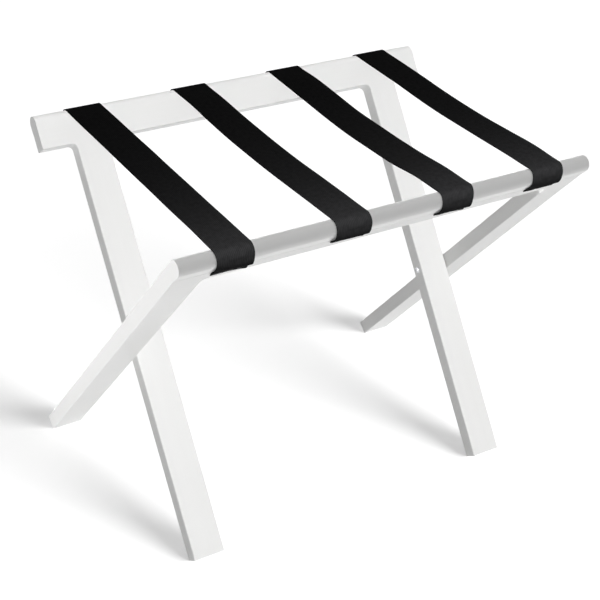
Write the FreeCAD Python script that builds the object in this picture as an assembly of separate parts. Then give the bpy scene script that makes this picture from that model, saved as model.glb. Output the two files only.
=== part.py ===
import FreeCAD, Part
import math
import os

from FreeCAD import Placement, Rotation, Vector

# Folding luggage bench. Two frames of painted board cross like scissors and turn on a bolt through each
# pair of legs. Each frame is a rail on two legs. Four webbing straps run from rail to rail, carry the
# luggage and stop the frames from opening further.
#
# Frame of the part: millimetres, +Z up, the origin on the floor under the middle of the bench, X along
# the rails. The inner frame leans back (+Y), the outer frame leans forward (-Y).
#
# Both frames are modelled flat and upright first, in board coordinates: x along the rail, w through the
# board towards the face that looks down when the bench is open, u up along the leg from the pivot.

# Open bench
bench_length = 600.0
lean_angle = 38.0

# Boards
board_thickness = 20.5
leg_width = 44.0
foot_reach = 285.0
arris = 0.9

# Rails: height of the lower edge above the pivot, then from that edge to the centre of the rounded nose
rail_lower_edge = 281.0
rail_depth = 36.0
bead_step = 1.0
quirk_height = 20.0
quirk_depth = 1.05
quirk_width = 1.6
ridge_step = 0.1
ridge_flat = 2.0
ridge_angle = 17.0
shoulder_height = 16.0
inside_corner_radius = 7.0
overhang_corner_radius = 6.5

# Dowels between leg and rail, two in each joint
dowel_diameter = 8.0
dowel_length = 40.0
dowel_spacing = 22.0
glue_gap = 0.05
dowel_end_room = 1.0

# Pivots: button-head bolt, washer between the legs, threaded insert inside the outer leg
bolt_diameter = 5.0
bolt_head_diameter = 9.5
bolt_head_height = 2.75
bolt_engagement = 18.0
bolt_tip_chamfer = 0.6
socket_across_flats = 3.0
socket_depth = 1.6
running_gap = 0.05
end_play = 0.1
thread_gap = 0.02
washer_diameter = 15.0
washer_thickness = 1.9
washer_bore_gap = 0.15
insert_diameter = 8.5
insert_length = 20.0
insert_seat_gap = 0.02
insert_end_room = 0.5

# Straps: their ends lie flat on the rail, at a height above its lower edge
strap_width = 50.0
strap_thickness = 1.4
strap_seat_gap = 0.3
strap_end_inset = 14.0
strap_flat_length = 9.0

# Straps: the middles of the far ones from the ends of the rails, of the others from the middle of the bench
far_left_inset = 71.0
mid_left_offset = 70.0
mid_right_offset = 84.5
far_right_inset = 69.0

# Straps: how deep each sags between the rails
far_left_sag = 2.5
mid_left_sag = 5.5
mid_right_sag = 7.5
far_right_sag = 4.8

# Staples through the strap ends, three across each, at a height above the end of the webbing
staple_count = 3
staple_pitch = 15.0
staple_inset = 4.0
staple_crown = 10.0
staple_bite = 10.0
wire_width = 1.2
wire_thickness = 0.6
staple_crown_gap = 0.1
staple_wood_gap = 0.03
staple_webbing_gap = 0.25

# Sizes that follow from those above
half_board = board_thickness / 2.0
half_length = bench_length / 2.0
lean = math.radians(lean_angle)
pivot_height = foot_reach * math.cos(lean) + half_board * math.sin(lean)
leg_gap = washer_thickness + end_play
outer_leg_start = half_length - leg_width
inner_leg_start = outer_leg_start - leg_gap - leg_width
joint_height = rail_lower_edge - shoulder_height
nose_centre_height = rail_lower_edge + rail_depth
nose_radius = (board_thickness + bead_step) / 2.0
nose_centre_w = nose_radius - half_board
strap_face = half_board + strap_seat_gap
strap_end_height = rail_lower_edge + strap_end_inset
staple_height = strap_end_height + staple_inset
straps = {
    "strap_far_left": (far_left_inset - half_length, far_left_sag),
    "strap_mid_left": (-mid_left_offset, mid_left_sag),
    "strap_mid_right": (mid_right_offset, mid_right_sag),
    "strap_far_right": (half_length - far_right_inset, far_right_sag),
}

x_axis = Vector(1, 0, 0)
y_axis = Vector(0, 1, 0)
z_axis = Vector(0, 0, 1)
origin = Vector(0, 0, 0)


def board_point(x, w, u):
    """Point in board coordinates."""
    return Vector(x, w, u)


def lean_back(shape):
    """Place a shape in board coordinates in the inner frame, which leans back over the pivot."""
    placed = shape.copy()
    placed.rotate(origin, x_axis, -lean_angle)
    placed.translate(Vector(0, 0, pivot_height))
    return placed


def lean_forward(shape):
    """Place a shape in board coordinates in the outer frame, the inner frame's mirror image."""
    return lean_back(shape).mirror(origin, y_axis)


def mirrored(shape):
    """The same shape on the other side of the bench."""
    return shape.mirror(origin, x_axis)


def solid_of(shape):
    """The single solid in a shape, with needless seams between its faces removed."""
    return shape.removeSplitter().Solids[0]


def group(solids):
    """Several separate solids as one node."""
    return Part.makeCompound(solids)


def nose_point(angle):
    """Point of the rail's nose, by its angle from the w axis towards the top of the rail."""
    w = nose_centre_w + nose_radius * math.cos(angle)
    u = nose_centre_height + nose_radius * math.sin(angle)
    return board_point(0, w, u)


def rail_section():
    """Section of a rail: a board with a rounded nose, and a ridge over a quirk on its lower face."""
    angle = math.radians(ridge_angle)
    nose_start = nose_point(angle)
    nose_end = nose_point(math.pi)
    nose_middle = nose_point((angle + math.pi) / 2.0)
    crest = nose_start + Vector(0, math.sin(angle), -math.cos(angle)) * ridge_flat
    quirk_edge = board_point(0, half_board, rail_lower_edge + quirk_height)
    quirk_bottom = board_point(0, half_board - quirk_depth, quirk_edge.z + 0.75 * quirk_width)
    ridge_foot = board_point(0, half_board + ridge_step, quirk_edge.z + quirk_width)
    lower_corner = board_point(0, half_board, rail_lower_edge)
    upper_corner = board_point(0, -half_board, rail_lower_edge)
    edges = [
        Part.makeLine(upper_corner, lower_corner),
        Part.makeLine(lower_corner, quirk_edge),
        Part.makeLine(quirk_edge, quirk_bottom),
        Part.makeLine(quirk_bottom, ridge_foot),
        Part.makeLine(ridge_foot, crest),
        Part.makeLine(crest, nose_start),
        Part.Arc(nose_start, nose_middle, nose_end).toShape(),
        Part.makeLine(nose_end, upper_corner),
    ]
    return Part.Face(Part.Wire(edges))


def corner_web(edge, outward, radius):
    """Flat piece that rounds the inside corner between a leg's edge and the rail's lower edge."""
    level = rail_lower_edge
    start = board_point(edge, -half_board, level - radius)
    corner = board_point(edge, -half_board, level)
    end = board_point(edge + outward * radius, -half_board, level)
    reach = radius * (1.0 - math.sqrt(0.5))
    middle = board_point(edge + outward * reach, -half_board, level - reach)
    outline = [
        Part.makeLine(start, corner),
        Part.makeLine(corner, end),
        Part.Arc(end, middle, start).toShape(),
    ]
    return Part.Face(Part.Wire(outline)).extrude(y_axis * board_thickness)


def shoulder(leg_start, overhang):
    """Stub under the rail, as wide as the leg that meets it, with its rounded inside corners."""
    corner = board_point(leg_start, -half_board, joint_height)
    stub = Part.makeBox(leg_width, board_thickness, shoulder_height, corner)
    stub = stub.fuse(corner_web(leg_start, -1, inside_corner_radius))
    if overhang:
        stub = stub.fuse(corner_web(leg_start + leg_width, 1, overhang_corner_radius))
    return stub


def lies_on_face(edge):
    """True for an edge in the plane of the board's upper or lower face."""
    box = edge.BoundBox
    return box.YLength < 1e-6 and abs(abs(box.Center.y) - half_board) < 1e-6


def lower_outline(rail):
    """Edges round the underside of a rail and down its shoulders, on both faces of the board."""
    chosen = []
    for edge in rail.Edges:
        box = edge.BoundBox
        along_joint = box.ZMax < joint_height + 1e-6
        if lies_on_face(edge) and box.ZMax < rail_lower_edge + 1e-6 and not along_joint:
            chosen.append(edge)
    return chosen


def dowel_places(leg_start):
    """Middle of each dowel across a leg."""
    middle = leg_start + leg_width / 2.0
    return [middle - dowel_spacing / 2.0, middle + dowel_spacing / 2.0]


def dowel_hole(x):
    """Hole for one dowel, through the joint between leg and rail."""
    depth = dowel_length + 2.0 * dowel_end_room
    start = board_point(x, 0, joint_height - depth / 2.0)
    return Part.makeCylinder(dowel_diameter / 2.0 + glue_gap, depth, start, z_axis)


def dowel(x):
    """One dowel, half in the leg and half in the rail."""
    start = board_point(x, 0, joint_height - dowel_length / 2.0)
    return Part.makeCylinder(dowel_diameter / 2.0, dowel_length, start, z_axis)


def dowel_pair(leg_start):
    """The two dowels of one leg."""
    return [dowel(x) for x in dowel_places(leg_start)]


def staple_places():
    """Middle of each staple along the rail."""
    places = []
    for strap_middle, sag in straps.values():
        for index in range(staple_count):
            offset = (index - (staple_count - 1) / 2.0) * staple_pitch
            places.append(strap_middle + offset)
    return places


def staple_leg(x, gap, depth):
    """One leg of a staple, or the slot that it makes when a gap is given all round."""
    outside = strap_face + strap_thickness + staple_crown_gap
    corner = board_point(x - gap, half_board - depth - gap, staple_height - wire_width / 2.0 - gap)
    length = outside - (half_board - depth) + gap
    return Part.makeBox(wire_thickness + 2.0 * gap, length, wire_width + 2.0 * gap, corner)


def staple_legs(x, gap, depth):
    """Both legs of the staple whose middle is at x."""
    left = staple_leg(x - staple_crown / 2.0, gap, depth)
    right = staple_leg(x + staple_crown / 2.0 - wire_thickness, gap, depth)
    return [left, right]


def staple(x):
    """One staple: a flat-wire crown on the webbing and two legs in the wood."""
    outside = strap_face + strap_thickness + staple_crown_gap
    corner = board_point(x - staple_crown / 2.0, outside, staple_height - wire_width / 2.0)
    crown = Part.makeBox(staple_crown, wire_thickness, wire_width, corner)
    return solid_of(crown.multiFuse(staple_legs(x, 0.0, staple_bite)))


def staple_row():
    """All staples of one rail."""
    return [staple(x) for x in staple_places()]


def rail(leg_start, overhang):
    """A rail with a shoulder for each leg, dowel holes in the shoulders and slots for the staples."""
    board = rail_section().extrude(x_axis * bench_length)
    board.translate(Vector(-half_length, 0, 0))
    right = shoulder(leg_start, overhang)
    body = solid_of(board.multiFuse([right, mirrored(right)]))
    body = body.makeChamfer(arris, lower_outline(body))
    holes = [dowel_hole(x) for x in dowel_places(leg_start)]
    holes += [mirrored(hole) for hole in holes]
    for x in staple_places():
        holes += staple_legs(x, staple_wood_gap, staple_bite)
    return solid_of(body.cut(Part.makeCompound(holes)))


def leg_board(leg_start):
    """A leg: a straight board with its long edges eased, cut square at both ends and bored for its dowels."""
    corner = board_point(leg_start, -half_board, -foot_reach)
    board = Part.makeBox(leg_width, board_thickness, joint_height + foot_reach, corner)
    long_edges = [edge for edge in board.Edges if edge.BoundBox.ZLength > foot_reach]
    board = board.makeChamfer(arris, long_edges)
    return board.cut(Part.makeCompound([dowel_hole(x) for x in dowel_places(leg_start)]))


def inner_leg():
    """A leg of the inner frame, bored through for the bolt that it turns on."""
    start = board_point(inner_leg_start, 0, 0)
    bore = Part.makeCylinder(bolt_diameter / 2.0 + running_gap, leg_width, start, x_axis)
    return solid_of(leg_board(inner_leg_start).cut(bore))


def outer_leg():
    """A leg of the outer frame, bored from its inner face for the threaded insert."""
    start = board_point(outer_leg_start, 0, 0)
    depth = insert_length + insert_end_room
    bore = Part.makeCylinder(insert_diameter / 2.0 + insert_seat_gap, depth, start, x_axis)
    return solid_of(leg_board(outer_leg_start).cut(bore))


def bolt():
    """Button-head bolt: the head bears on the inner leg, the shank ends in the outer leg's insert."""
    radius = bolt_diameter / 2.0
    head_radius = bolt_head_diameter / 2.0
    seat = inner_leg_start - end_play
    top = seat - bolt_head_height
    tip = outer_leg_start + bolt_engagement
    dome_radius = (head_radius ** 2 + bolt_head_height ** 2) / (2.0 * bolt_head_height)
    dome_centre = top + dome_radius
    half_turn = math.asin(head_radius / dome_radius) / 2.0
    dome_middle = Vector(dome_centre - dome_radius * math.cos(half_turn), 0, dome_radius * math.sin(half_turn))
    crown = Vector(top, 0, 0)
    rim = Vector(seat, 0, head_radius)
    corners = [
        rim,
        Vector(seat, 0, radius),
        Vector(tip - bolt_tip_chamfer, 0, radius),
        Vector(tip, 0, radius - bolt_tip_chamfer),
        Vector(tip, 0, 0),
        crown,
    ]
    outline = [Part.makeLine(a, b) for a, b in zip(corners, corners[1:])]
    outline.append(Part.Arc(crown, dome_middle, rim).toShape())
    body = Part.Face(Part.Wire(outline)).revolve(origin, x_axis, 360)
    return place_at_pivot(body.cut(hex_socket(top)))


def hex_socket(top):
    """Six-sided socket in the bolt's head."""
    corner_radius = socket_across_flats / math.sqrt(3.0)
    corners = []
    for index in range(7):
        angle = index * math.pi / 3.0
        corners.append(Vector(top, corner_radius * math.cos(angle), corner_radius * math.sin(angle)))
    return Part.Face(Part.makePolygon(corners)).extrude(x_axis * socket_depth)


def ring(start, length, bore_radius, outer_radius):
    """Round tube along X with its middle line on the pivot."""
    outer = Part.makeCylinder(outer_radius, length, Vector(start, 0, 0), x_axis)
    inner = Part.makeCylinder(bore_radius, length, Vector(start, 0, 0), x_axis)
    return outer.cut(inner)


def washer():
    """Washer that keeps the two legs of a pair apart, against the outer leg."""
    start = outer_leg_start - washer_thickness
    bore = bolt_diameter / 2.0 + washer_bore_gap
    return place_at_pivot(ring(start, washer_thickness, bore, washer_diameter / 2.0))


def insert():
    """Threaded insert, flush with the inner face of the outer leg."""
    bore = bolt_diameter / 2.0 + thread_gap
    return place_at_pivot(ring(outer_leg_start, insert_length, bore, insert_diameter / 2.0))


def place_at_pivot(shape):
    """Lift a shape made about the X axis to the height of the pivots."""
    placed = shape.copy()
    placed.Placement = Placement(Vector(0, 0, pivot_height), Rotation())
    return solid_of(placed)


def to_side_view(w, u):
    """A point in board coordinates of the inner frame, in the side view of the open bench."""
    y = w * math.cos(lean) + u * math.sin(lean)
    z = pivot_height - w * math.sin(lean) + u * math.cos(lean)
    return Vector(0, y, z)


def unit(vector):
    """The same direction with length one."""
    return vector / vector.Length


def tangent_direction(point, centre, radius):
    """Direction from a circle's centre to where the line from a point outside touches it, far side."""
    across = point - centre
    swing = math.acos(radius / across.Length)
    direction = unit(across)
    y = direction.y * math.cos(swing) - direction.z * math.sin(swing)
    z = direction.y * math.sin(swing) + direction.z * math.cos(swing)
    return Vector(0, y, z)


def strap_layer(sag, depth):
    """One face of a strap in the side view, at a depth into the webbing from the face on the wood.

    It returns the edges from the back end over both noses to the front end.
    """
    nose = to_side_view(nose_centre_w, nose_centre_height)
    seat_radius = nose_radius + strap_seat_gap
    sag_reach = (nose.y ** 2 + sag ** 2) / (2.0 * sag)
    sag_centre = Vector(0, 0, nose.z + seat_radius - sag + sag_reach - seat_radius)
    sag_radius = sag_reach - seat_radius
    flat_top = to_side_view(strap_face, strap_end_height + strap_flat_length)
    flat_end = to_side_view(strap_face, strap_end_height)
    leave = tangent_direction(flat_top, nose, seat_radius)
    arrive = unit(sag_centre - nose)
    face_normal = unit(to_side_view(1, 0) - to_side_view(0, 0))
    bend_normal = (face_normal + leave) / (1.0 + face_normal.dot(leave))
    radius = seat_radius + depth
    back = [
        flat_end + face_normal * depth,
        flat_top + bend_normal * depth,
        nose + leave * radius,
        nose + unit(leave + arrive) * radius,
        nose + arrive * radius,
    ]
    front = [Vector(0, -point.y, point.z) for point in back]
    lowest = Vector(0, 0, sag_centre.z - sag_radius + depth)
    return [
        Part.makeLine(back[0], back[1]),
        Part.makeLine(back[1], back[2]),
        Part.Arc(back[2], back[3], back[4]).toShape(),
        Part.Arc(back[4], lowest, front[4]).toShape(),
        Part.Arc(front[4], front[3], front[2]).toShape(),
        Part.makeLine(front[2], front[1]),
        Part.makeLine(front[1], front[0]),
    ]


def strap(middle, sag):
    """A webbing strap over both noses, its ends flat on the rails' lower faces, pierced by the staples."""
    inside = strap_layer(sag, 0.0)
    outside = strap_layer(sag, strap_thickness)
    back_end = Part.makeLine(inside[0].Vertexes[0].Point, outside[0].Vertexes[0].Point)
    front_end = Part.makeLine(inside[-1].Vertexes[-1].Point, outside[-1].Vertexes[-1].Point)
    wire = Part.Wire(Part.sortEdges(inside + outside + [back_end, front_end])[0])
    band = Part.Face(wire).extrude(x_axis * strap_width)
    band.translate(Vector(middle - strap_width / 2.0, 0, 0))
    legs = []
    for x in staple_places():
        if abs(x - middle) < strap_width / 2.0:
            legs += staple_legs(x, staple_webbing_gap, 0.0)
    holes = [lean_back(leg) for leg in legs]
    holes += [lean_forward(leg) for leg in legs]
    return solid_of(band.cut(Part.makeCompound(holes)))


def both_sides(solids):
    """Solids of the right side with their mirror images on the left."""
    return solids + [mirrored(solid) for solid in solids]


def save(shape, node):
    """Write one node's STEP file."""
    shape.exportStep("parts/" + node + ".step")


def main():
    os.makedirs("parts", exist_ok=True)
    save(lean_back(rail(inner_leg_start, True)), "back_rail")
    save(lean_forward(rail(outer_leg_start, False)), "front_rail")
    sided = {
        "inner_leg": lean_back(inner_leg()),
        "outer_leg": lean_forward(outer_leg()),
        "pivot_bolt": bolt(),
        "pivot_washer": washer(),
        "pivot_insert": insert(),
    }
    for name, solid in sided.items():
        save(solid, name + "_right")
        save(mirrored(solid), name + "_left")
    save(lean_back(group(both_sides(dowel_pair(inner_leg_start)))), "inner_frame_dowels")
    save(lean_forward(group(both_sides(dowel_pair(outer_leg_start)))), "outer_frame_dowels")
    save(lean_back(group(staple_row())), "back_rail_staples")
    save(lean_forward(group(staple_row())), "front_rail_staples")
    for name, (middle, sag) in straps.items():
        save(strap(middle, sag), name)


main()
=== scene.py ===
"""Dress a folding luggage bench and set it in a plain studio.

Two white painted frames cross like scissors and turn on a bolt through each pair of legs. Four black
webbing straps run from rail to rail, are stapled under the rails and stop the frames from opening
further. The frames, bolts, washers, inserts, dowels and staples are the shapes imported from model.glb.
They get their finishes here, and the straps are woven here.

Lengths are in metres, +Z is up and X runs along the rails. The back frame leans back (+Y).
"""

import logging
import math
from dataclasses import dataclass, field
from enum import Enum

import bmesh
import bpy
import numpy as np
from mathutils import Matrix, Vector


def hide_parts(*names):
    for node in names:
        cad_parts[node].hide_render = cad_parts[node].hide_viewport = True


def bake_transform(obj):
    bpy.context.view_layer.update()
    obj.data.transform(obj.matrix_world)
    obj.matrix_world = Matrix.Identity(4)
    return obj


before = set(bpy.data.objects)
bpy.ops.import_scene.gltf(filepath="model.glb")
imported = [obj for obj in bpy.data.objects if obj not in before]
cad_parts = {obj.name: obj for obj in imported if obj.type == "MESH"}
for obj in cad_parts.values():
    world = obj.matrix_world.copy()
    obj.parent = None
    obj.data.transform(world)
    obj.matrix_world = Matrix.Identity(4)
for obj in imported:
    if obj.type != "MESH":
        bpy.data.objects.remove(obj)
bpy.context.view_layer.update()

LOG = logging.getLogger("luggage_bench")
MM = 0.001
PIVOT_HEIGHT = 230.894 * MM
LEAN = math.radians(38.0)
SLACK_CENTRE = 16.5 * MM
SLACK_REACH = 12.5 * MM
ROUNDING_ROOM = 1e-7
LAMP_DISTANCE = 3.0
WEAVE_MAP = "weave"

Feed = bpy.types.NodeSocket | float | int | tuple
Span = tuple[float, float]
Triple = tuple[float, float, float]
Colour = tuple[float, float, float, float]


class GrainRun(Enum):
    """Which way the grain of a board runs, as the turn about X that lays it along Z or leaves it along X."""

    ALONG_RAIL = "rail"
    ALONG_BACK_LEANING_LEG = "back leaning leg"
    ALONG_FRONT_LEANING_LEG = "front leaning leg"

    def turn(self) -> float:
        """Turn about X that stands the board upright, in radians."""
        turns = {GrainRun.ALONG_BACK_LEANING_LEG: LEAN, GrainRun.ALONG_FRONT_LEANING_LEG: -LEAN}
        return turns.get(self, 0.0)

    def stretch(self, fine: float, coarse: float) -> Triple:
        """Scale of a pattern: fine across the grain and coarse along it."""
        if self is GrainRun.ALONG_RAIL:
            return (coarse, fine, fine)
        return (fine, fine, coarse)


class Draft:
    """A node tree on the drawing board, with short calls that place its nodes and join them."""

    def __init__(self, tree: bpy.types.NodeTree) -> None:
        """Start from an empty tree."""
        self.tree = tree
        tree.nodes.clear()

    def place(
        self, kind: str, feeds: dict[str | int, Feed] | None = None, **settings: object
    ) -> bpy.types.Node:
        """Place one node.

        Args:
            kind: The node's type, as Blender names it.
            feeds: What goes into its inputs, by name or number. A socket is joined, a value is set.
            settings: The node's own options.

        Returns:
            The new node.
        """
        node = self.tree.nodes.new(kind)
        for option, choice in settings.items():
            setattr(node, option, choice)
        for key, feed in (feeds or {}).items():
            socket = node.inputs[key]
            if isinstance(feed, bpy.types.NodeSocket):
                self.tree.links.new(feed, socket)
            else:
                socket.default_value = feed
        return node

    def sum(self, operation: str, *terms: Feed) -> bpy.types.NodeSocket:
        """Place a sum.

        Args:
            operation: What is done with the terms, as Blender names it.
            terms: Sockets or numbers.

        Returns:
            The socket that holds the result.
        """
        return self.place("ShaderNodeMath", dict(enumerate(terms)), operation=operation).outputs[0]

    def tint(self, share: Feed, first: Feed, second: Feed) -> bpy.types.NodeSocket:
        """Place a mix of two colours.

        Args:
            share: How much of the second colour, from 0 to 1.
            first: The colour at 0.
            second: The colour at 1.

        Returns:
            The socket that holds the mixed colour.
        """
        feeds = {0: share, 6: first, 7: second}
        return self.place("ShaderNodeMix", feeds, data_type="RGBA").outputs[2]

    def rescale(self, value: Feed, low: float, high: float) -> bpy.types.NodeSocket:
        """Place a node that turns 0 to 1 into low to high.

        Args:
            value: The socket with the value from 0 to 1.
            low: The result at 0.
            high: The result at 1.

        Returns:
            The socket that holds the result.
        """
        feeds = {"Value": value, "To Min": low, "To Max": high}
        return self.place("ShaderNodeMapRange", feeds).outputs[0]

    def object_place(self, turn: float = 0.0, stretch: Triple = (1.0, 1.0, 1.0)) -> bpy.types.NodeSocket:
        """Place the coordinates of the piece itself.

        Args:
            turn: Turn about X before the pattern is read, in radians.
            stretch: Scale of the pattern on the three axes.

        Returns:
            The socket that holds the coordinates.
        """
        own = self.place("ShaderNodeTexCoord").outputs["Object"]
        stood = self.place("ShaderNodeMapping", {"Vector": own, "Rotation": (turn, 0.0, 0.0)})
        return self.place("ShaderNodeMapping", {"Vector": stood.outputs[0], "Scale": stretch}).outputs[0]

    def noise(self, where: Feed, scale: float, detail: float = 2.0) -> bpy.types.NodeSocket:
        """Place a noise pattern.

        Args:
            where: The socket with the coordinates.
            scale: How many features to a unit of the coordinates.
            detail: How many finer layers it has.

        Returns:
            The socket that holds the noise, from 0 to 1.
        """
        feeds = {"Vector": where, "Scale": scale, "Detail": detail}
        return self.place("ShaderNodeTexNoise", feeds).outputs[0]

    def bump(self, height: Feed, depth: float, strength: float = 0.5, **over: Feed) -> bpy.types.NodeSocket:
        """Place a bump.

        Args:
            height: The socket with the relief.
            depth: How high the relief stands at 1.
            strength: How much of it shows, from 0 to 1.
            over: Normal, the normal that it lies on, if that isn't the piece's own.

        Returns:
            The socket that holds the new normal.
        """
        feeds = {"Height": height, "Distance": depth, "Strength": strength, **over}
        return self.place("ShaderNodeBump", feeds).outputs[0]


@dataclass(frozen=True)
class Finish:
    """A finish with its name, and how it becomes a material."""

    name: str

    def shader(self, draft: Draft) -> bpy.types.Node:
        """Place the nodes of this finish and give its shader."""
        raise NotImplementedError

    def material(self) -> bpy.types.Material:
        """Make the finish a material."""
        material = bpy.data.materials.new(self.name)
        material.use_nodes = True
        draft = Draft(material.node_tree)
        shader = self.shader(draft)
        draft.place("ShaderNodeOutputMaterial", {"Surface": shader.outputs[0]})
        return material


@dataclass(frozen=True)
class SatinWhitePaint(Finish):
    """Satin white paint, sprayed over sanded hardwood whose grain still shows a little."""

    grain: GrainRun
    colour: Colour = (0.865, 0.865, 0.86, 1.0)
    thin_coat: Colour = (0.815, 0.812, 0.80, 1.0)
    roughness: Span = (0.36, 0.5)
    gloss: float = 0.4
    eased_edge: float = 0.35 * MM
    peel_height: float = 0.02 * MM
    grain_height: float = 0.035 * MM
    streak_scale: Span = (260.0, 9.0)
    pore_scale: Span = (1500.0, 55.0)
    peel_scale: float = 620.0
    cloud_scale: float = 11.0
    thin_share: float = 0.32

    def shader(self, draft: Draft) -> bpy.types.Node:
        """Place the nodes of the paint.

        Args:
            draft: The material's tree.

        Returns:
            The shader node.
        """
        plain = draft.object_place(self.grain.turn())
        streaked = draft.object_place(self.grain.turn(), self.grain.stretch(*self.streak_scale))
        pored = draft.object_place(self.grain.turn(), self.grain.stretch(*self.pore_scale))
        streaks = draft.noise(streaked, 1.0, 3.0)
        pores = draft.noise(pored, 1.0, 2.0)
        peel = draft.noise(plain, self.peel_scale, 1.0)
        clouds = draft.noise(plain, self.cloud_scale, 2.0)
        thin = draft.sum("MULTIPLY", draft.sum("ADD", streaks, clouds), self.thin_share)
        colour = draft.tint(thin, self.colour, self.thin_coat)
        dulled = draft.sum("MULTIPLY", draft.sum("ADD", clouds, peel), 0.5)
        eased = draft.place("ShaderNodeBevel", {"Radius": self.eased_edge}, samples=6)
        grained = draft.bump(pores, self.grain_height, 0.6, Normal=eased.outputs[0])
        peeled = draft.bump(peel, self.peel_height, 0.7, Normal=grained)
        return draft.place(
            "ShaderNodeBsdfPrincipled",
            {
                "Base Color": colour,
                "Roughness": draft.rescale(dulled, *self.roughness),
                "Specular IOR Level": self.gloss,
                "Normal": peeled,
            },
        )


@dataclass(frozen=True)
class WhiteEnamel(Finish):
    """White enamel on a bolt's head, with the zinc plated shank left bare."""

    colour: Colour = (0.88, 0.88, 0.875, 1.0)
    zinc: Colour = (0.62, 0.63, 0.65, 1.0)
    head_starts: float = 299.9 * MM
    roughness: Span = (0.24, 0.38)
    grit_scale: float = 2600.0
    grit_height: float = 0.01 * MM

    def shader(self, draft: Draft) -> bpy.types.Node:
        """Place the nodes of the head and of the bare shank.

        Args:
            draft: The material's tree.

        Returns:
            The shader node.
        """
        own = draft.object_place()
        across = draft.place("ShaderNodeSeparateXYZ", {"Vector": own}).outputs["X"]
        shank = draft.sum("LESS_THAN", draft.sum("ABSOLUTE", across), self.head_starts)
        grit = draft.noise(own, self.grit_scale, 2.0)
        return draft.place(
            "ShaderNodeBsdfPrincipled",
            {
                "Base Color": draft.tint(shank, self.colour, self.zinc),
                "Metallic": shank,
                "Roughness": draft.rescale(grit, *self.roughness),
                "Normal": draft.bump(grit, self.grit_height),
            },
        )


@dataclass(frozen=True)
class NaturalNylon(Finish):
    """Milky moulded nylon, as washers are punched from."""

    colour: Colour = (0.78, 0.77, 0.73, 1.0)
    mottle: Colour = (0.70, 0.69, 0.64, 1.0)
    roughness: Span = (0.4, 0.55)
    milkiness: float = 0.25
    depth: float = 1.2 * MM
    mottle_scale: float = 420.0
    mottle_height: float = 0.02 * MM

    def shader(self, draft: Draft) -> bpy.types.Node:
        """Place the nodes of the nylon.

        Args:
            draft: The material's tree.

        Returns:
            The shader node.
        """
        own = draft.object_place()
        mottle = draft.noise(own, self.mottle_scale, 3.0)
        return draft.place(
            "ShaderNodeBsdfPrincipled",
            {
                "Base Color": draft.tint(mottle, self.colour, self.mottle),
                "Roughness": draft.rescale(mottle, *self.roughness),
                "Subsurface Weight": self.milkiness,
                "Subsurface Scale": self.depth,
                "Normal": draft.bump(mottle, self.mottle_height),
            },
        )


@dataclass(frozen=True)
class TurnedBrass(Finish):
    """Brass with the fine rings that a lathe leaves round the piece's own axis."""

    colour: Colour = (0.78, 0.58, 0.29, 1.0)
    tarnish: Colour = (0.52, 0.37, 0.17, 1.0)
    roughness: Span = (0.26, 0.45)
    ring_pitch: float = 0.25 * MM
    ring_height: float = 0.01 * MM
    stain_scale: float = 240.0

    def shader(self, draft: Draft) -> bpy.types.Node:
        """Place the nodes of the brass.

        Args:
            draft: The material's tree.

        Returns:
            The shader node.
        """
        own = draft.object_place()
        across = draft.place("ShaderNodeSeparateXYZ", {"Vector": own}).outputs["X"]
        rings = draft.sum("SINE", draft.sum("MULTIPLY", across, 2.0 * math.pi / self.ring_pitch))
        stain = draft.noise(own, self.stain_scale, 3.0)
        return draft.place(
            "ShaderNodeBsdfPrincipled",
            {
                "Base Color": draft.tint(stain, self.colour, self.tarnish),
                "Metallic": 1.0,
                "Roughness": draft.rescale(stain, *self.roughness),
                "Normal": draft.bump(rings, self.ring_height),
            },
        )


@dataclass(frozen=True)
class BareBeech(Finish):
    """Bare beech with short dark flecks along the grain."""

    grain: GrainRun
    pale: Colour = (0.62, 0.42, 0.25, 1.0)
    dark: Colour = (0.40, 0.24, 0.12, 1.0)
    roughness: Span = (0.58, 0.75)
    fleck_scale: Span = (1400.0, 160.0)
    band_scale: Span = (330.0, 14.0)
    fleck_height: float = 0.05 * MM
    dark_share: float = 0.55

    def shader(self, draft: Draft) -> bpy.types.Node:
        """Place the nodes of the wood.

        Args:
            draft: The material's tree.

        Returns:
            The shader node.
        """
        flecked = draft.object_place(self.grain.turn(), self.grain.stretch(*self.fleck_scale))
        banded = draft.object_place(self.grain.turn(), self.grain.stretch(*self.band_scale))
        flecks = draft.sum("POWER", draft.noise(flecked, 1.0, 3.0), 2.0)
        bands = draft.noise(banded, 1.0, 2.0)
        share = draft.sum("MULTIPLY", draft.sum("ADD", flecks, bands), self.dark_share)
        return draft.place(
            "ShaderNodeBsdfPrincipled",
            {
                "Base Color": draft.tint(share, self.pale, self.dark),
                "Roughness": draft.rescale(flecks, *self.roughness),
                "Normal": draft.bump(flecks, self.fleck_height, 0.6),
            },
        )


@dataclass(frozen=True)
class BlackWire(Finish):
    """Black lacquered staple wire, a little worn."""

    colour: Colour = (0.012, 0.012, 0.013, 1.0)
    worn: Colour = (0.07, 0.07, 0.072, 1.0)
    roughness: Span = (0.35, 0.6)
    gloss: float = 0.3
    wear_scale: float = 900.0
    wear_height: float = 0.02 * MM

    def shader(self, draft: Draft) -> bpy.types.Node:
        """Place the nodes of the wire.

        Args:
            draft: The material's tree.

        Returns:
            The shader node.
        """
        own = draft.object_place()
        wear = draft.sum("POWER", draft.noise(own, self.wear_scale, 3.0), 3.0)
        return draft.place(
            "ShaderNodeBsdfPrincipled",
            {
                "Base Color": draft.tint(wear, self.colour, self.worn),
                "Roughness": draft.rescale(wear, *self.roughness),
                "Specular IOR Level": self.gloss,
                "Normal": draft.bump(wear, self.wear_height),
            },
        )


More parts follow.
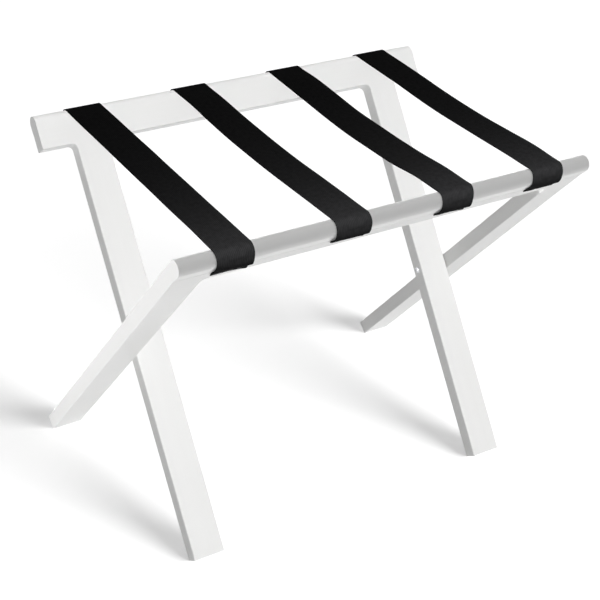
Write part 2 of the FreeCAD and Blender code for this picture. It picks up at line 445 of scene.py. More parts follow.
@dataclass(frozen=True)
class BlackWebbing(Finish):
    """Black polyester webbing: warp ribs along the strap, each crossed by the picks of the weft."""

    rib_pitch: float
    pick_pitch: float = 1.25 * MM
    pick_height: float = 0.11 * MM
    # The valley colour is painted shade: the hollows of the weave are coloured darker than the yarn crowns.
    painted_shade_valley: Colour = (0.004, 0.004, 0.0042, 1.0)
    yarn: Colour = (0.016, 0.016, 0.0165, 1.0)
    roughness: Span = (0.5, 0.66)
    gloss: float = 0.003
    fuzz_scale: float = 2600.0
    fuzz_share: float = 0.35
    shade_mottle_scale: float = 170.0
    shade_mottle_range: Span = (0.1, 1.9)

    def shader(self, draft: Draft) -> bpy.types.Node:
        """Place the nodes of the weave, on the strap's own map in metres across and along.

        Args:
            draft: The material's tree.

        Returns:
            The shader node.
        """
        weave = draft.place("ShaderNodeUVMap", uv_map=WEAVE_MAP).outputs[0]
        apart = draft.place("ShaderNodeSeparateXYZ", {"Vector": weave})
        rib = draft.sum("DIVIDE", apart.outputs["X"], self.rib_pitch)
        every_other = draft.sum("MULTIPLY", draft.sum("FLOOR", rib), 0.5)
        pick = draft.sum("ADD", draft.sum("DIVIDE", apart.outputs["Y"], self.pick_pitch), every_other)
        hump = draft.sum("ABSOLUTE", draft.sum("SINE", draft.sum("MULTIPLY", pick, math.pi)))
        strand = draft.sum("ABSOLUTE", draft.sum("SINE", draft.sum("MULTIPLY", rib, math.pi)))
        relief = draft.sum("MULTIPLY", hump, draft.sum("POWER", strand, 0.5))
        fuzz = draft.noise(weave, self.fuzz_scale, 2.0)
        shade_mottle = draft.noise(weave, self.shade_mottle_scale, 4.0)
        height = draft.sum("ADD", relief, draft.sum("MULTIPLY", fuzz, self.fuzz_share))
        # The crowns take the yarn colour and the hollows the darker valley colour, which is painted shade; a
        # coarse noise varies how strong that painted shade is.
        yarn_lit_share = draft.sum("MULTIPLY", relief, draft.rescale(shade_mottle, *self.shade_mottle_range))
        return draft.place(
            "ShaderNodeBsdfPrincipled",
            {
                "Base Color": draft.tint(yarn_lit_share, self.painted_shade_valley, self.yarn),
                "Roughness": draft.rescale(fuzz, *self.roughness),
                "Specular IOR Level": self.gloss,
                "Normal": draft.bump(height, self.pick_height, 0.8),
            },
        )


def dress(node: str, material: bpy.types.Material) -> None:
    """Give one of the loaded shapes its finish.

    Args:
        node: The name of the shape.
        material: The finish.
    """
    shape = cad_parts[node]
    for place in shape.material_slots:
        place.material = material
    LOG.info("%s: %s", node, material.name)


@dataclass
class BoardFrame:
    """One of the two frames: a rail on two legs, dowelled, with the staples that hold the webbing."""

    rail: str
    legs: tuple[str, str]
    dowels: str
    staples: str
    leg_grain: GrainRun

    def dress(self) -> None:
        """Paint the boards, and give the dowels and the staples their own finishes."""
        dress(self.rail, SatinWhitePaint("paint_" + self.rail, GrainRun.ALONG_RAIL).material())
        leg_paint = SatinWhitePaint("paint_" + self.rail + "_legs", self.leg_grain).material()
        for leg in self.legs:
            dress(leg, leg_paint)
        dress(self.dowels, BareBeech("beech_" + self.dowels, self.leg_grain).material())
        dress(self.staples, BlackWire("wire_" + self.staples).material())


@dataclass
class Pivots:
    """The bolt, washer and threaded insert that each pair of legs turns on."""

    sides: tuple[str, str] = ("left", "right")

    def dress(self) -> None:
        """Give the bolts, washers and inserts of both sides their finishes."""
        enamel = WhiteEnamel("white_enamel").material()
        nylon = NaturalNylon("natural_nylon").material()
        brass = TurnedBrass("turned_brass").material()
        for side in self.sides:
            dress("pivot_bolt_" + side, enamel)
            dress("pivot_washer_" + side, nylon)
            dress("pivot_insert_" + side, brass)


@dataclass(frozen=True)
class Station:
    """A place along a strap in the side view: where its face on the wood is, and which way is outward."""

    y: float
    z: float
    out_y: float
    out_z: float


@dataclass(frozen=True)
class RailSeat:
    """What a strap bears on at each rail: the rounded nose and the flat face under it."""

    nose_height: float = 317.0 * MM
    nose_offset: float = 0.5 * MM
    seat_radius: float = 11.05 * MM
    face_offset: float = 10.55 * MM
    flat_end: float = 295.0 * MM
    flat_top: float = 304.0 * MM

    def side_view(self, offset: float, height: float) -> Vector:
        """Turn board coordinates of the back frame into the side view.

        Args:
            offset: Distance from the middle of the board towards its lower face.
            height: Distance up the board from the pivot.

        Returns:
            The point, y and z.
        """
        y = offset * math.cos(LEAN) + height * math.sin(LEAN)
        z = PIVOT_HEIGHT - offset * math.sin(LEAN) + height * math.cos(LEAN)
        return Vector((y, z))

    def nose(self) -> Vector:
        """Centre of the rounded nose in the side view."""
        return self.side_view(self.nose_offset, self.nose_height)

    def face_normal(self) -> Vector:
        """Which way the flat face under the rail looks."""
        return Vector((math.cos(LEAN), -math.sin(LEAN)))


@dataclass
class StrapPath:
    """The line of a strap's face on the wood, from its end under the back rail to its end at the front."""

    sag: float
    seat: RailSeat = field(default_factory=RailSeat)
    flat_rows: int = 7
    rise_rows: int = 8
    nose_rows: int = 34
    span_rows: int = 150

    def stations(self) -> list[Station]:
        """Lay out the whole line.

        Returns:
            The stations in order.
        """
        back = self.half()
        front = [Station(-s.y, s.z, -s.out_y, s.out_z) for s in reversed(back)]
        return back + self.span(back[-1]) + front

    def half(self) -> list[Station]:
        """Lay out the back half up to where the strap leaves the nose.

        Returns:
            The stations from the end of the webbing, over the nose.
        """
        seat = self.seat
        nose = seat.nose()
        face = seat.face_normal()
        end = seat.side_view(seat.face_offset, seat.flat_end)
        top = seat.side_view(seat.face_offset, seat.flat_top)
        leave = self.touch(top, nose, seat.seat_radius)
        arrive = self.span_normal(nose)
        rows = [self.between(end, top, face, face, i / self.flat_rows) for i in range(self.flat_rows)]
        touch = nose + leave * seat.seat_radius
        rows += [self.between(top, touch, face, leave, i / self.rise_rows) for i in range(self.rise_rows)]
        first = math.atan2(leave.y, leave.x)
        last = math.atan2(arrive.y, arrive.x)
        for i in range(self.nose_rows + 1):
            angle = first + (last - first) * i / self.nose_rows
            out = Vector((math.cos(angle), math.sin(angle)))
            at = nose + out * seat.seat_radius
            rows.append(Station(at.x, at.y, out.x, out.y))
        return rows

    def span(self, start: Station) -> list[Station]:
        """Lay out the sagging run between the noses, without its two ends.

        Args:
            start: Where the strap leaves the back nose.

        Returns:
            The stations between the noses.
        """
        centre = self.sag_centre()
        radius = (Vector((start.y, start.z)) - centre).length
        swing = math.atan2(start.y, centre.y - start.z)
        rows = []
        for i in range(1, self.span_rows):
            angle = swing * (1.0 - 2.0 * i / self.span_rows)
            y = radius * math.sin(angle)
            z = centre.y - radius * math.cos(angle)
            rows.append(Station(y, z, -math.sin(angle), math.cos(angle)))
        return rows

    def sag_centre(self) -> Vector:
        """Centre, high above the bench, of the arc in which the strap sags."""
        nose = self.seat.nose()
        reach = (nose.x**2 + self.sag**2) / (2.0 * self.sag)
        return Vector((0.0, nose.y - self.sag + reach))

    def span_normal(self, nose: Vector) -> Vector:
        """Which way is outward where the strap leaves the nose for the span."""
        return (self.sag_centre() - nose).normalized()

    @staticmethod
    def touch(point: Vector, centre: Vector, radius: float) -> Vector:
        """Find where the line from a point outside touches a circle on its far side.

        Args:
            point: The point outside.
            centre: The circle's centre.
            radius: The circle's radius.

        Returns:
            The direction from the centre to the place where the line touches.
        """
        across = point - centre
        swing = math.acos(radius / across.length)
        return Matrix.Rotation(swing, 2) @ across.normalized()

    @staticmethod
    def between(first: Vector, last: Vector, out_first: Vector, out_last: Vector, share: float) -> Station:
        """Make a station part of the way along a straight run.

        Args:
            first: Start of the run.
            last: End of the run.
            out_first: Outward direction at the start.
            out_last: Outward direction at the end.
            share: How far along the run, from 0 to 1.

        Returns:
            The station.
        """
        at = first.lerp(last, share)
        out = out_first.lerp(out_last, share).normalized()
        return Station(at.x, at.y, out.x, out.y)


@dataclass
class RibWeaver:
    """The Geometry Nodes tree that raises the warp ribs of a strap."""

    pitch: float = 2.27 * MM
    depth: float = 0.16 * MM
    wander: float = 0.22 * MM
    wander_scale: float = 38.0
    roundness: float = 0.7
    seed: float = 7.0

    def tree(self) -> bpy.types.NodeTree:
        """Draw up the tree, with its sizes as named inputs.

        Returns:
            The node group.
        """
        tree = bpy.data.node_groups.new("warp_ribs", "GeometryNodeTree")
        tree.interface.new_socket("Strap", in_out="INPUT", socket_type="NodeSocketGeometry")
        for name in ("Rib Pitch", "Rib Depth", "Wander", "Seed"):
            tree.interface.new_socket(name, in_out="INPUT", socket_type="NodeSocketFloat")
        tree.interface.new_socket("Webbing", in_out="INPUT", socket_type="NodeSocketMaterial")
        tree.interface.new_socket("Strap", in_out="OUTPUT", socket_type="NodeSocketGeometry")
        draft = Draft(tree)
        given = draft.place("NodeGroupInput").outputs
        across = self.named(draft, "across")
        along = self.named(draft, "along")
        ribbed = self.named(draft, "ribbed")
        where = draft.place("ShaderNodeCombineXYZ", {"X": across, "Y": along, "Z": given["Seed"]}).outputs[0]
        drift = draft.noise(where, self.wander_scale, 1.0)
        shift = draft.sum("MULTIPLY", draft.sum("SUBTRACT", drift, 0.5), given["Wander"])
        turns = draft.sum("DIVIDE", draft.sum("ADD", across, shift), given["Rib Pitch"])
        crest = draft.sum("ABSOLUTE", draft.sum("SINE", draft.sum("MULTIPLY", turns, math.pi)))
        hollow = draft.sum("SUBTRACT", draft.sum("POWER", crest, self.roundness), 1.0)
        drop = draft.sum("MULTIPLY", draft.sum("MULTIPLY", hollow, given["Rib Depth"]), ribbed)
        normal = draft.place("GeometryNodeInputNormal").outputs[0]
        offset = draft.place("ShaderNodeVectorMath", {0: normal, "Scale": drop}, operation="SCALE")
        moved = draft.place(
            "GeometryNodeSetPosition", {"Geometry": given["Strap"], "Offset": offset.outputs[0]}
        )
        smooth = draft.place("GeometryNodeSetShadeSmooth", {"Geometry": moved.outputs[0]})
        real = draft.place("GeometryNodeRealizeInstances", {"Geometry": smooth.outputs[0]})
        dressed = draft.place(
            "GeometryNodeSetMaterial", {"Geometry": real.outputs[0], "Material": given["Webbing"]}
        )
        draft.place("NodeGroupOutput", {"Strap": dressed.outputs[0]})
        return tree

    @staticmethod
    def named(draft: Draft, name: str) -> bpy.types.NodeSocket:
        """Place a node that reads one of the strap's own measures.

        Args:
            draft: The tree.
            name: The measure's name.

        Returns:
            The socket that holds it.
        """
        return draft.place("GeometryNodeInputNamedAttribute", {"Name": name}, data_type="FLOAT").outputs[0]

    def weave(self, strap: bpy.types.Object, webbing: bpy.types.Material, order: int) -> bpy.types.Mesh:
        """Raise the ribs on one strap and make the result a plain mesh.

        Args:
            strap: The smooth strap.
            webbing: Its finish.
            order: The strap's place in the row, which shifts the seed.

        Returns:
            The ribbed mesh.
        """
        tree = bpy.data.node_groups.get("warp_ribs") or self.tree()
        modifier = strap.modifiers.new("ribs", "NODES")
        modifier.node_group = tree
        sizes = {
            "Rib Pitch": self.pitch,
            "Rib Depth": self.depth,
            "Wander": self.wander,
            "Seed": self.seed + order,
            "Webbing": webbing,
        }
        for item in tree.interface.items_tree:
            if item.item_type == "SOCKET" and item.in_out == "INPUT" and item.name in sizes:
                modifier[item.identifier] = sizes[item.name]
        strap.update_tag()
        graph = bpy.context.evaluated_depsgraph_get()
        graph.update()
        ribbed = bpy.data.meshes.new_from_object(
            strap.evaluated_get(graph), preserve_all_data_layers=True, depsgraph=graph
        )
        strap.modifiers.remove(modifier)
        return ribbed


@dataclass(frozen=True)
class Lie:
    """How one strap came to lie when it was stretched and stapled by hand.

    The sideways places are offsets from the strap's own middle. The rises are how far the left and the
    right edge lie above an even sag, at even steps from the back nose to the front nose.
    """

    at_back: float
    at_front: float
    round_nose: float
    at_front_end: float
    left_rises: tuple[float, ...]
    right_rises: tuple[float, ...]
    front_end: tuple[float, ...]
    slack: tuple[float, ...]
    back_end: tuple[float, ...] = (294.6 * MM, 295.2 * MM, 294.8 * MM)
    pinch: float = 0.0

    @staticmethod
    def through(heights: tuple[float, ...], share: float) -> float:
        """Follow a smooth curve through evenly spaced heights.

        Args:
            heights: The heights that the curve goes through.
            share: How far along the curve, from 0 to 1.

        Returns:
            The height there.
        """
        place = min(max(share, 0.0), 1.0) * (len(heights) - 1)
        first = min(int(place), len(heights) - 2)
        t = place - first
        before = heights[max(first - 1, 0)]
        start = heights[first]
        end = heights[first + 1]
        after = heights[min(first + 2, len(heights) - 1)]
        slope_start = (end - before) / 2.0
        slope_end = (after - start) / 2.0
        square = t * t
        cube = square * t
        height = start * (2.0 * cube - 3.0 * square + 1.0) + end * (3.0 * square - 2.0 * cube)
        return height + slope_start * (cube - 2.0 * square + t) + slope_end * (cube - square)

    def sideways(self, share: float, over_front: float) -> float:
        """Find how far the strap's middle has strayed.

        Args:
            share: How far along the span from the back nose to the front nose, from 0 to 1.
            over_front: How far along the part beyond the front nose's top, from 0 to 1.

        Returns:
            The offset across.
        """
        if over_front <= 0.0:
            return self.at_back + (self.at_front - self.at_back) * share
        return self.through((self.at_front, self.round_nose, self.round_nose, self.at_front_end), over_front)

    def rise(self, share: float, edge: float) -> float:
        """Find how far a point of the span lies above the even sag.

        Args:
            share: How far along the span, from 0 to 1.
            edge: How far across, from -1 at the left edge to 1 at the right edge.

        Returns:
            The height above the even sag.
        """
        left = self.through(self.left_rises, share)
        right = self.through(self.right_rises, share)
        return left * (0.5 - 0.5 * edge) + right * (0.5 + 0.5 * edge)

    def swell(self, from_end: float, edge: float) -> float:
        """Find how far the stiff webbing stands off the rail between the front nose and the staples.

        Args:
            from_end: Length of strap from its end under the front rail.
            edge: How far across, from -1 at the left edge to 1 at the right edge.

        Returns:
            The height above the tight path.
        """
        beside = abs(from_end - SLACK_CENTRE) / SLACK_REACH
        if beside >= 1.0:
            return 0.0
        return self.through(self.slack, 0.5 + 0.5 * edge) * math.cos(0.5 * math.pi * beside) ** 2


@dataclass
class Strap:
    """One webbing strap over both rails."""

    node: str
    middle: float
    sag: float
    lie: Lie
    width: float = 50.0 * MM
    thickness: float = 1.4 * MM
    flat_length: float = 487.3 * MM
    face_columns: int = 133
    edge_columns: int = 4
    cupping: float = 0.3 * MM
    cup_balance: float = 0.3
    turn_reach: float = 35.5

    def section(self) -> list[tuple[float, float]]:
        """Lay out the strap's section: flat faces between round selvedges.

        Returns:
            Offset across and depth of each point, from the face on the wood, round the section.
        """
        radius = self.thickness / 2.0
        flat = self.width / 2.0 - radius
        steps = self.face_columns - 1
        outer = [(-flat + 2.0 * flat * i / steps, self.thickness) for i in range(self.face_columns)]
        inner = [(-x, 0.0) for x, _ in outer]
        turns = [math.pi * (0.5 - (i + 1) / (self.edge_columns + 1)) for i in range(self.edge_columns)]
        right = [(flat + radius * math.cos(t), radius + radius * math.sin(t)) for t in turns]
        left = [(-x, self.thickness - d) for x, d in right]
        return outer + right + inner + left

    def end_height(self, across: float, front: bool) -> float:
        """Find how high up the rail the webbing is cut off.

        Args:
            across: Offset across the strap.
            front: True at the front rail, False at the back rail.

        Returns:
            Height up the board from the pivot.
        """
        heights = self.lie.front_end if front else self.lie.back_end
        return self.lie.through(heights, across / self.width + 0.5)

    def points(self) -> tuple[np.ndarray, np.ndarray]:
        """Work out every point of the strap.

        Returns:
            The points by row and column, and how far along the strap each row is.
        """
        path = StrapPath(self.sag)
        stations = path.stations()
        seat = path.seat
        last = len(stations) - 1
        section = self.section()
        along = [0.0]
        for first, second in zip(stations, stations[1:]):
            along.append(along[-1] + math.hypot(second.y - first.y, second.z - first.z))
        points = np.zeros((len(stations), len(section), 3))
        leaves = path.flat_rows + path.rise_rows + path.nose_rows
        beyond = along[last - leaves]
        reach = stations[leaves].y
        for row, s in enumerate(stations):
            share = 0.5 - 0.5 * s.y / reach if leaves < row < last - leaves else float(row > last / 2.0)
            over_front = (along[row] - beyond) / (along[-1] - beyond)
            sideways = self.lie.sideways(share, over_front)
            narrow = 1.0 - self.lie.pinch * math.sin(math.pi * min(max(over_front, 0.0), 1.0)) / self.width
            from_end = min(row, last - row)
            front = s.y < 0.0
            for column, (x, depth) in enumerate(section):
                edge = 2.0 * x / self.width
                bow = self.lie.rise(share, edge)
                bow += self.cupping * 4.0 * share * (1.0 - share) * (self.cup_balance - edge * edge)
                off = depth + (self.lie.swell(along[-1] - along[row], edge) if front else 0.0)
                y = s.y + s.out_y * off
                z = s.z + s.out_z * off + bow
                if from_end < path.flat_rows:
                    cut = self.end_height(x, front) - seat.flat_end
                    pull = cut * (1.0 - from_end / path.flat_rows)
                    y += pull * math.sin(LEAN) * (-1.0 if front else 1.0)
                    z += pull * math.cos(LEAN)
                points[row, column] = (self.middle + x * narrow + sideways, y, z)
        return points, np.array(along)

    def smooth_mesh(self) -> bpy.types.Mesh:
        """Make the smooth strap with its map and its own measures.

        Returns:
            The closed mesh.
        """
        points, along = self.points()
        rows, columns = points.shape[:2]
        section = self.section()
        faces = []
        for row in range(rows - 1):
            for column in range(columns):
                after = (column + 1) % columns
                here = row * columns
                ahead = here + columns
                faces.append((here + column, here + after, ahead + after, ahead + column))
        for row, turned in ((0, True), (rows - 1, False)):
            faces += self.cap(row * columns, turned)
        mesh = bpy.data.meshes.new(self.node + "_webbing")
        mesh.from_pydata(points.reshape(-1, 3).tolist(), [], faces)
        across = np.tile(np.array([x for x, _ in section]), rows)
        lengthwise = np.repeat(along, columns)
        flat = (self.width - self.thickness) / 2.0
        ribbed = (np.abs(across) < flat + ROUNDING_ROOM).astype(np.float32)
        ribbed.reshape(rows, columns)[[0, -1]] = 0.0
        for name, values in (("across", across), ("along", lengthwise), ("ribbed", ribbed)):
            mesh.attributes.new(name, "FLOAT", "POINT").data.foreach_set("value", values.astype(np.float32))
        corners = np.zeros(len(mesh.loops), np.int32)
        mesh.loops.foreach_get("vertex_index", corners)
        weave = np.stack([across[corners], lengthwise[corners]], axis=1)
        mesh.uv_layers.new(name=WEAVE_MAP).data.foreach_set("uv", weave.astype(np.float32).ravel())
        self.face_outward(mesh)
        return mesh

    def cap(self, first: int, turned: bool) -> list[tuple[int, ...]]:
        """Close one cut end of the strap.

        Args:
            first: Number of the end row's first point.
            turned: True if the faces go round the other way.

        Returns:
            The faces of the cut end.
        """
        count = self.face_columns
        edge = self.edge_columns
        outer = [first + i for i in range(count)]
        inner = [first + count + edge + count - 1 - i for i in range(count)]
        right = [first + count + i for i in range(edge)]
        left = [first + 2 * count + edge + i for i in range(edge)]
        faces = [(outer[i], outer[i + 1], inner[i + 1], inner[i]) for i in range(count - 1)]
        faces.append((outer[-1], *right, inner[-1]))
        faces.append((inner[0], *left, outer[0]))
        if turned:
            return [tuple(reversed(face)) for face in faces]
        return faces

    @staticmethod
    def face_outward(mesh: bpy.types.Mesh) -> None:
        """Turn every face of a closed mesh outward."""
        body = bmesh.new()
        body.from_mesh(mesh)
        bmesh.ops.recalc_face_normals(body, faces=body.faces)
        body.to_mesh(mesh)
        body.free()

    def build(self, weaver: RibWeaver, webbing: bpy.types.Material, order: int) -> bpy.types.Object:
        """Args:
            weaver: What raises its ribs.
            webbing: Its finish.
            order: Its place in the row.

        Returns:
            The finished strap.
        """
        strap = bpy.data.objects.new("webbing_" + self.node, self.smooth_mesh())
        bpy.context.scene.collection.objects.link(strap)
        strap.data = weaver.weave(strap, webbing, order)
        for name in ("across", "along", "ribbed"):
            spare = strap.data.attributes.get(name)
            if spare is not None:
                strap.data.attributes.remove(spare)
        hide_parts(self.node)
        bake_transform(strap)
        self.share_the_turn(strap)
        LOG.info("%s: %d faces", strap.name, len(strap.data.polygons))
        return strap

    def share_the_turn(self, strap: bpy.types.Object) -> None:
        """Read the strap's points into an array. Nothing is moved, so the fold is not shared out and
        turn_reach is not used.

        Args:
            strap: The finished strap.
        """
        count = len(strap.data.vertices)
        points = np.zeros(count * 3, np.float32)
        strap.data.vertices.foreach_get("co", points)
        points = points.reshape(-1, 3)


@dataclass
class Straps:
    """The four straps, each with the sag and the slightly slanted ends that it was stapled with."""

    weaver: RibWeaver = field(default_factory=RibWeaver)

    def build(self) -> list[bpy.types.Object]:
        """Build the straps from left to right.

        Returns:
            The finished straps.
        """
        webbing = BlackWebbing("black_webbing", self.weaver.pitch).material()
        straps = [self.far_left(), self.mid_left(), self.mid_right(), self.far_right()]
        return [strap.build(self.weaver, webbing, order) for order, strap in enumerate(straps)]

    @staticmethod
    def millimetres(*lengths: float) -> tuple[float, ...]:
        """Turn lengths in millimetres into metres."""
        return tuple(length * MM for length in lengths)

    def far_left(self) -> Strap:
        """Lay the far left strap, the tightest of the four."""
        lie = Lie(
            -0.4 * MM,
            0.2 * MM,
            0.3 * MM,
            2.4 * MM,
            left_rises=self.millimetres(0.0, 0.7, 2.0, 2.4, 2.6, 2.7, 2.1, 1.9, 0.0),
            right_rises=self.millimetres(0.0, 1.2, 1.9, 2.7, 2.5, 2.4, 1.8, 1.2, 0.0),
            front_end=self.millimetres(293.8, 293.9, 294.6, 293.4, 291.4, 287.4),
            slack=self.millimetres(1.2, 3.2, 3.8),
            pinch=1.0 * MM,
        )
        return Strap("strap_far_left", -229.0 * MM, 2.5 * MM, lie)

    def mid_left(self) -> Strap:
        """Lay the strap left of the middle."""
        lie = Lie(
            -1.5 * MM,
            0.9 * MM,
            1.1 * MM,
            3.0 * MM,
            left_rises=self.millimetres(0.0, 2.1, 0.9, 0.1, 0.2, 0.3, 0.8, 0.8, 0.0),
            right_rises=self.millimetres(0.0, 1.8, 1.3, 1.0, 0.7, 0.8, 1.6, 1.3, 0.0),
            front_end=self.millimetres(298.0, 296.4, 296.8, 295.2, 295.4, 293.6),
            slack=self.millimetres(3.0, 3.8, 3.4),
        )
        return Strap("strap_mid_left", -70.0 * MM, 5.5 * MM, lie)

    def mid_right(self) -> Strap:
        """Lay the strap right of the middle, which is the slackest and lies a little askew."""
        lie = Lie(
            -4.4 * MM,
            2.1 * MM,
            -0.5 * MM,
            1.0 * MM,
            left_rises=self.millimetres(0.0, 0.9, 0.7, -0.5, -1.2, -0.6, -0.3, 2.3, 0.0),
            right_rises=self.millimetres(0.0, 3.5, 3.2, 1.7, 2.1, 2.0, 2.2, 2.9, 0.0),
            front_end=self.millimetres(297.8, 297.0, 295.2, 291.8),
            slack=self.millimetres(1.8, 3.2, 3.6),
            pinch=2.5 * MM,
        )
        return Strap("strap_mid_right", 84.5 * MM, 7.5 * MM, lie)

    def far_right(self) -> Strap:
        """Lay the far right strap."""
        lie = Lie(
            -1.9 * MM,
            0.1 * MM,
            -2.5 * MM,
            -1.5 * MM,
            left_rises=self.millimetres(0.0, 1.2, 2.1, 1.2, 0.7, 1.3, 1.6, 1.5, 0.0),
            right_rises=self.millimetres(0.0, 1.3, 1.8, 1.0, 0.8, 1.2, 2.5, 3.1, 0.0),
            front_end=self.millimetres(297.6, 297.2, 297.6, 296.2, 296.6, 295.4),
            slack=self.millimetres(0.8, 2.4, 2.6),
        )
        return Strap("strap_far_right", 231.0 * MM, 4.8 * MM, lie)


def gather(name: str, pieces: tuple[str, ...]) -> bpy.types.Collection:
    """Gather pieces in a collection, for a lamp that has to do with them alone.

    Args:
        name: The collection's name.
        pieces: The pieces' names.

    Returns:
        The collection.
    """
    group = bpy.data.collections.new(name)
    for piece in pieces:
        group.objects.link(bpy.data.objects[piece])
    return group


@dataclass(frozen=True)
class SoftLight:
    """An even light from one side, as from a wide diffuser far away, for the pieces that it is meant for."""

    name: str
    comes_from: Triple
    level: float
    spread: float
    only: tuple[str, ...]
    casts_shadow: bool = True
    shaded_by: tuple[str, ...] = ()

    def hang(self) -> None:
        """Hang the light, turn it and choose what it lights.

        At level 1 a white face that looks straight at it is white.
        """
        lamp = bpy.data.lights.new(self.name, "SUN")
        lamp.energy = self.level * math.pi
        lamp.angle = math.radians(self.spread)
        lamp.use_shadow = self.casts_shadow
        lamp.cycles.use_multiple_importance_sampling = self.casts_shadow
        holder = bpy.data.objects.new(self.name, lamp)
        bpy.context.scene.collection.objects.link(holder)
        source = Vector(self.comes_from).normalized()
        holder.location = source * LAMP_DISTANCE
        holder.rotation_euler = source.to_track_quat("Z", "Y").to_euler()
        holder.light_linking.receiver_collection = gather(self.name + "_lights", self.only)
        if self.shaded_by:
            holder.light_linking.blocker_collection = gather(self.name + "_shades", self.shaded_by)
        LOG.info("light %s: level %.2f", self.name, self.level)


@dataclass(frozen=True)
class StripLight:
    """A long narrow lamp close to the straps, which shows how they turn over the front rail."""

    name: str
    place: Triple
    aims_at: Triple
    power: float
    only: tuple[str, ...]
    length: float = 0.9
    width: float = 0.05

    def hang(self) -> None:
        """Hang the lamp, turn it to what it lights and keep it out of the picture."""
        lamp = bpy.data.lights.new(self.name, "AREA")
        lamp.shape = "RECTANGLE"
        lamp.size = self.length
        lamp.size_y = self.width
        lamp.energy = self.power
        holder = bpy.data.objects.new(self.name, lamp)
        bpy.context.scene.collection.objects.link(holder)
        holder.location = self.place
        towards = Vector(self.aims_at) - Vector(self.place)
        holder.rotation_euler = towards.to_track_quat("-Z", "Y").to_euler()
        holder.visible_camera = False
        holder.light_linking.receiver_collection = gather(self.name + "_lights", self.only)
        LOG.info("light %s: %.2f W", self.name, self.power)


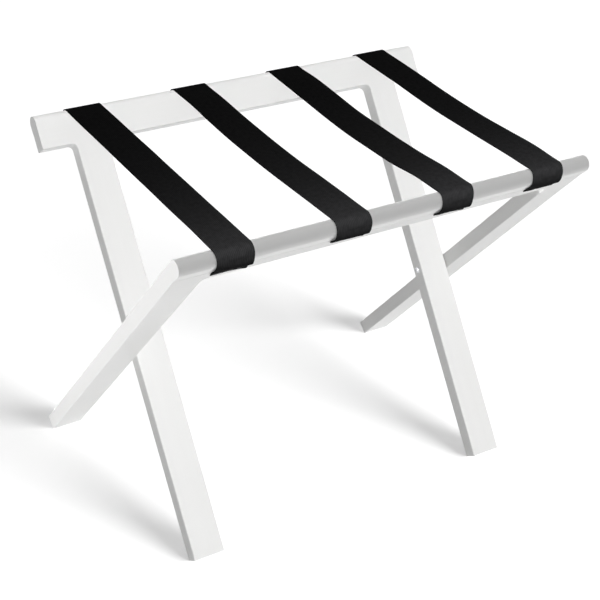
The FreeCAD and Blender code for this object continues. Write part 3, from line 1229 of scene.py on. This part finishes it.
@dataclass
class Studio:
    """A pale floor, an even surround, soft lamps and the camera."""

    ambient: float = 0.02
    floor_colour: Colour = (0.8, 0.8, 0.8, 1.0)
    floor_radius: float = 40.0
    floor_lift: float = 0.34
    lens: float = 81.68124
    sensor_width: float = 36.0
    camera_place: Triple = (-0.901690, -1.313585, 1.271395)
    camera_right: Triple = (0.8453764, -0.5298128, 0.0680962)
    camera_up: Triple = (0.2411070, 0.4922169, 0.8364149)

    def lights(self) -> list[SoftLight | StripLight]:
        """List the lights.

        Returns:
            The lights, in the order in which they are hung.
        """
        inner_legs = ("inner_leg_left", "inner_leg_right")
        outer_legs = ("outer_leg_left", "outer_leg_right")
        left_end = ("outer_leg_left", "front_rail")
        pivots = ("pivot_bolt_left", "pivot_bolt_right", "pivot_washer_left", "pivot_washer_right")
        staples = ("front_rail_staples", "back_rail_staples")
        places = ("far_left", "mid_left", "mid_right", "far_right")
        straps = tuple("webbing_strap_" + place for place in places)
        inner_frame = ("back_rail",) + inner_legs
        outer_frame = ("front_rail",) + outer_legs
        frames = inner_frame + outer_frame
        floor = ("studio_floor",)
        legs = inner_legs + outer_legs
        return [
            SoftLight("overhead", (0.05, 0.0, 1.0), 0.38, 60.0, outer_frame + pivots + staples),
            SoftLight("back_overhead", (0.05, 0.0, 1.0), 0.5, 60.0, inner_frame, casts_shadow=False),
            SoftLight("floor_key", (0.42, -0.82, 0.36), 1.75, 34.0, floor, shaded_by=legs),
            SoftLight("floor_top", (0.0, 0.0, 1.0), 0.28, 150.0, floor),
            SoftLight("back_frame_fill", (0.1, -0.8, 0.6), 0.46, 50.0, inner_frame, casts_shadow=False),
            SoftLight("left_leg_fill", (-1.0, -0.1, 0.2), 0.55, 50.0, left_end + pivots, casts_shadow=False),
            SoftLight("under_fill", (0.0, -0.1, -1.0), 0.13, 60.0, outer_frame, casts_shadow=False),
            SoftLight("right_leg_fill", (1.0, 0.0, 0.0), 0.2, 50.0, outer_legs, casts_shadow=False),
            SoftLight("rear_fill", (0.25, 0.9, -0.3), 0.35, 60.0, frames, casts_shadow=False),
            StripLight("strap_strip", (-0.06, -0.285, 0.60), (-0.06, -0.205, 0.487), 2.8, straps),
        ]

    def build(self) -> None:
        """Lay the floor, light the room and set up the camera."""
        self.lay_floor()
        self.light_surround()
        for light in self.lights():
            light.hang()
        self.set_camera()

    def lay_floor(self) -> None:
        """Lay the floor, which keeps the bench's shadow and looks white where nothing shades it."""
        mesh = bpy.data.meshes.new("studio_floor")
        r = self.floor_radius
        mesh.from_pydata([(-r, -r, 0.0), (r, -r, 0.0), (r, r, 0.0), (-r, r, 0.0)], [], [(0, 1, 2, 3)])
        floor = bpy.data.objects.new("studio_floor", mesh)
        bpy.context.scene.collection.objects.link(floor)
        material = bpy.data.materials.new("studio_floor")
        material.use_nodes = True
        draft = Draft(material.node_tree)
        diffuse = draft.place("ShaderNodeBsdfDiffuse", {"Color": self.floor_colour})
        lift = draft.sum("MULTIPLY", self.seen(draft), self.floor_lift)
        glow = draft.place("ShaderNodeEmission", {"Strength": lift})
        both = draft.place("ShaderNodeAddShader", {0: diffuse.outputs[0], 1: glow.outputs[0]})
        draft.place("ShaderNodeOutputMaterial", {"Surface": both.outputs[0]})
        mesh.materials.append(material)

    @staticmethod
    def seen(draft: Draft) -> bpy.types.NodeSocket:
        """Place a node that is 1 for what is seen, also by reflection or through glass, and 0 for light."""
        rays = draft.place("ShaderNodeLightPath").outputs
        mirrored = draft.sum("MAXIMUM", rays["Is Glossy Ray"], rays["Is Transmission Ray"])
        return draft.sum("MAXIMUM", rays["Is Camera Ray"], mirrored)

    def light_surround(self) -> None:
        """Give the room its even light, and show it white."""
        world = bpy.data.worlds.new("studio_surround")
        world.use_nodes = True
        draft = Draft(world.node_tree)
        strength = draft.rescale(self.seen(draft), self.ambient, 1.0)
        surround = draft.place("ShaderNodeBackground", {"Color": (1.0, 1.0, 1.0, 1.0), "Strength": strength})
        draft.place("ShaderNodeOutputWorld", {"Surface": surround.outputs[0]})
        bpy.context.scene.world = world

    def set_camera(self) -> None:
        """Set up the camera, held a little askew, as in the hand."""
        data = bpy.data.cameras.new("camera")
        data.lens = self.lens
        data.sensor_width = self.sensor_width
        camera = bpy.data.objects.new("camera", data)
        bpy.context.scene.collection.objects.link(camera)
        right = Vector(self.camera_right)
        up = Vector(self.camera_up)
        turn = Matrix((right, up, right.cross(up))).transposed()
        camera.matrix_world = Matrix.Translation(self.camera_place) @ turn.to_4x4()
        bpy.context.scene.camera = camera


def main() -> None:
    """Dress the frames and pivots, weave the straps and set up the studio."""
    logging.basicConfig(level=logging.INFO, format="%(name)s: %(message)s")
    back = BoardFrame(
        "back_rail",
        ("inner_leg_left", "inner_leg_right"),
        "inner_frame_dowels",
        "back_rail_staples",
        GrainRun.ALONG_BACK_LEANING_LEG,
    )
    front = BoardFrame(
        "front_rail",
        ("outer_leg_left", "outer_leg_right"),
        "outer_frame_dowels",
        "front_rail_staples",
        GrainRun.ALONG_FRONT_LEANING_LEG,
    )
    back.dress()
    front.dress()
    Pivots().dress()
    Straps().build()
    Studio().build()
    bpy.context.scene.view_settings.view_transform = "Standard"


if __name__ == "__main__":
    main()
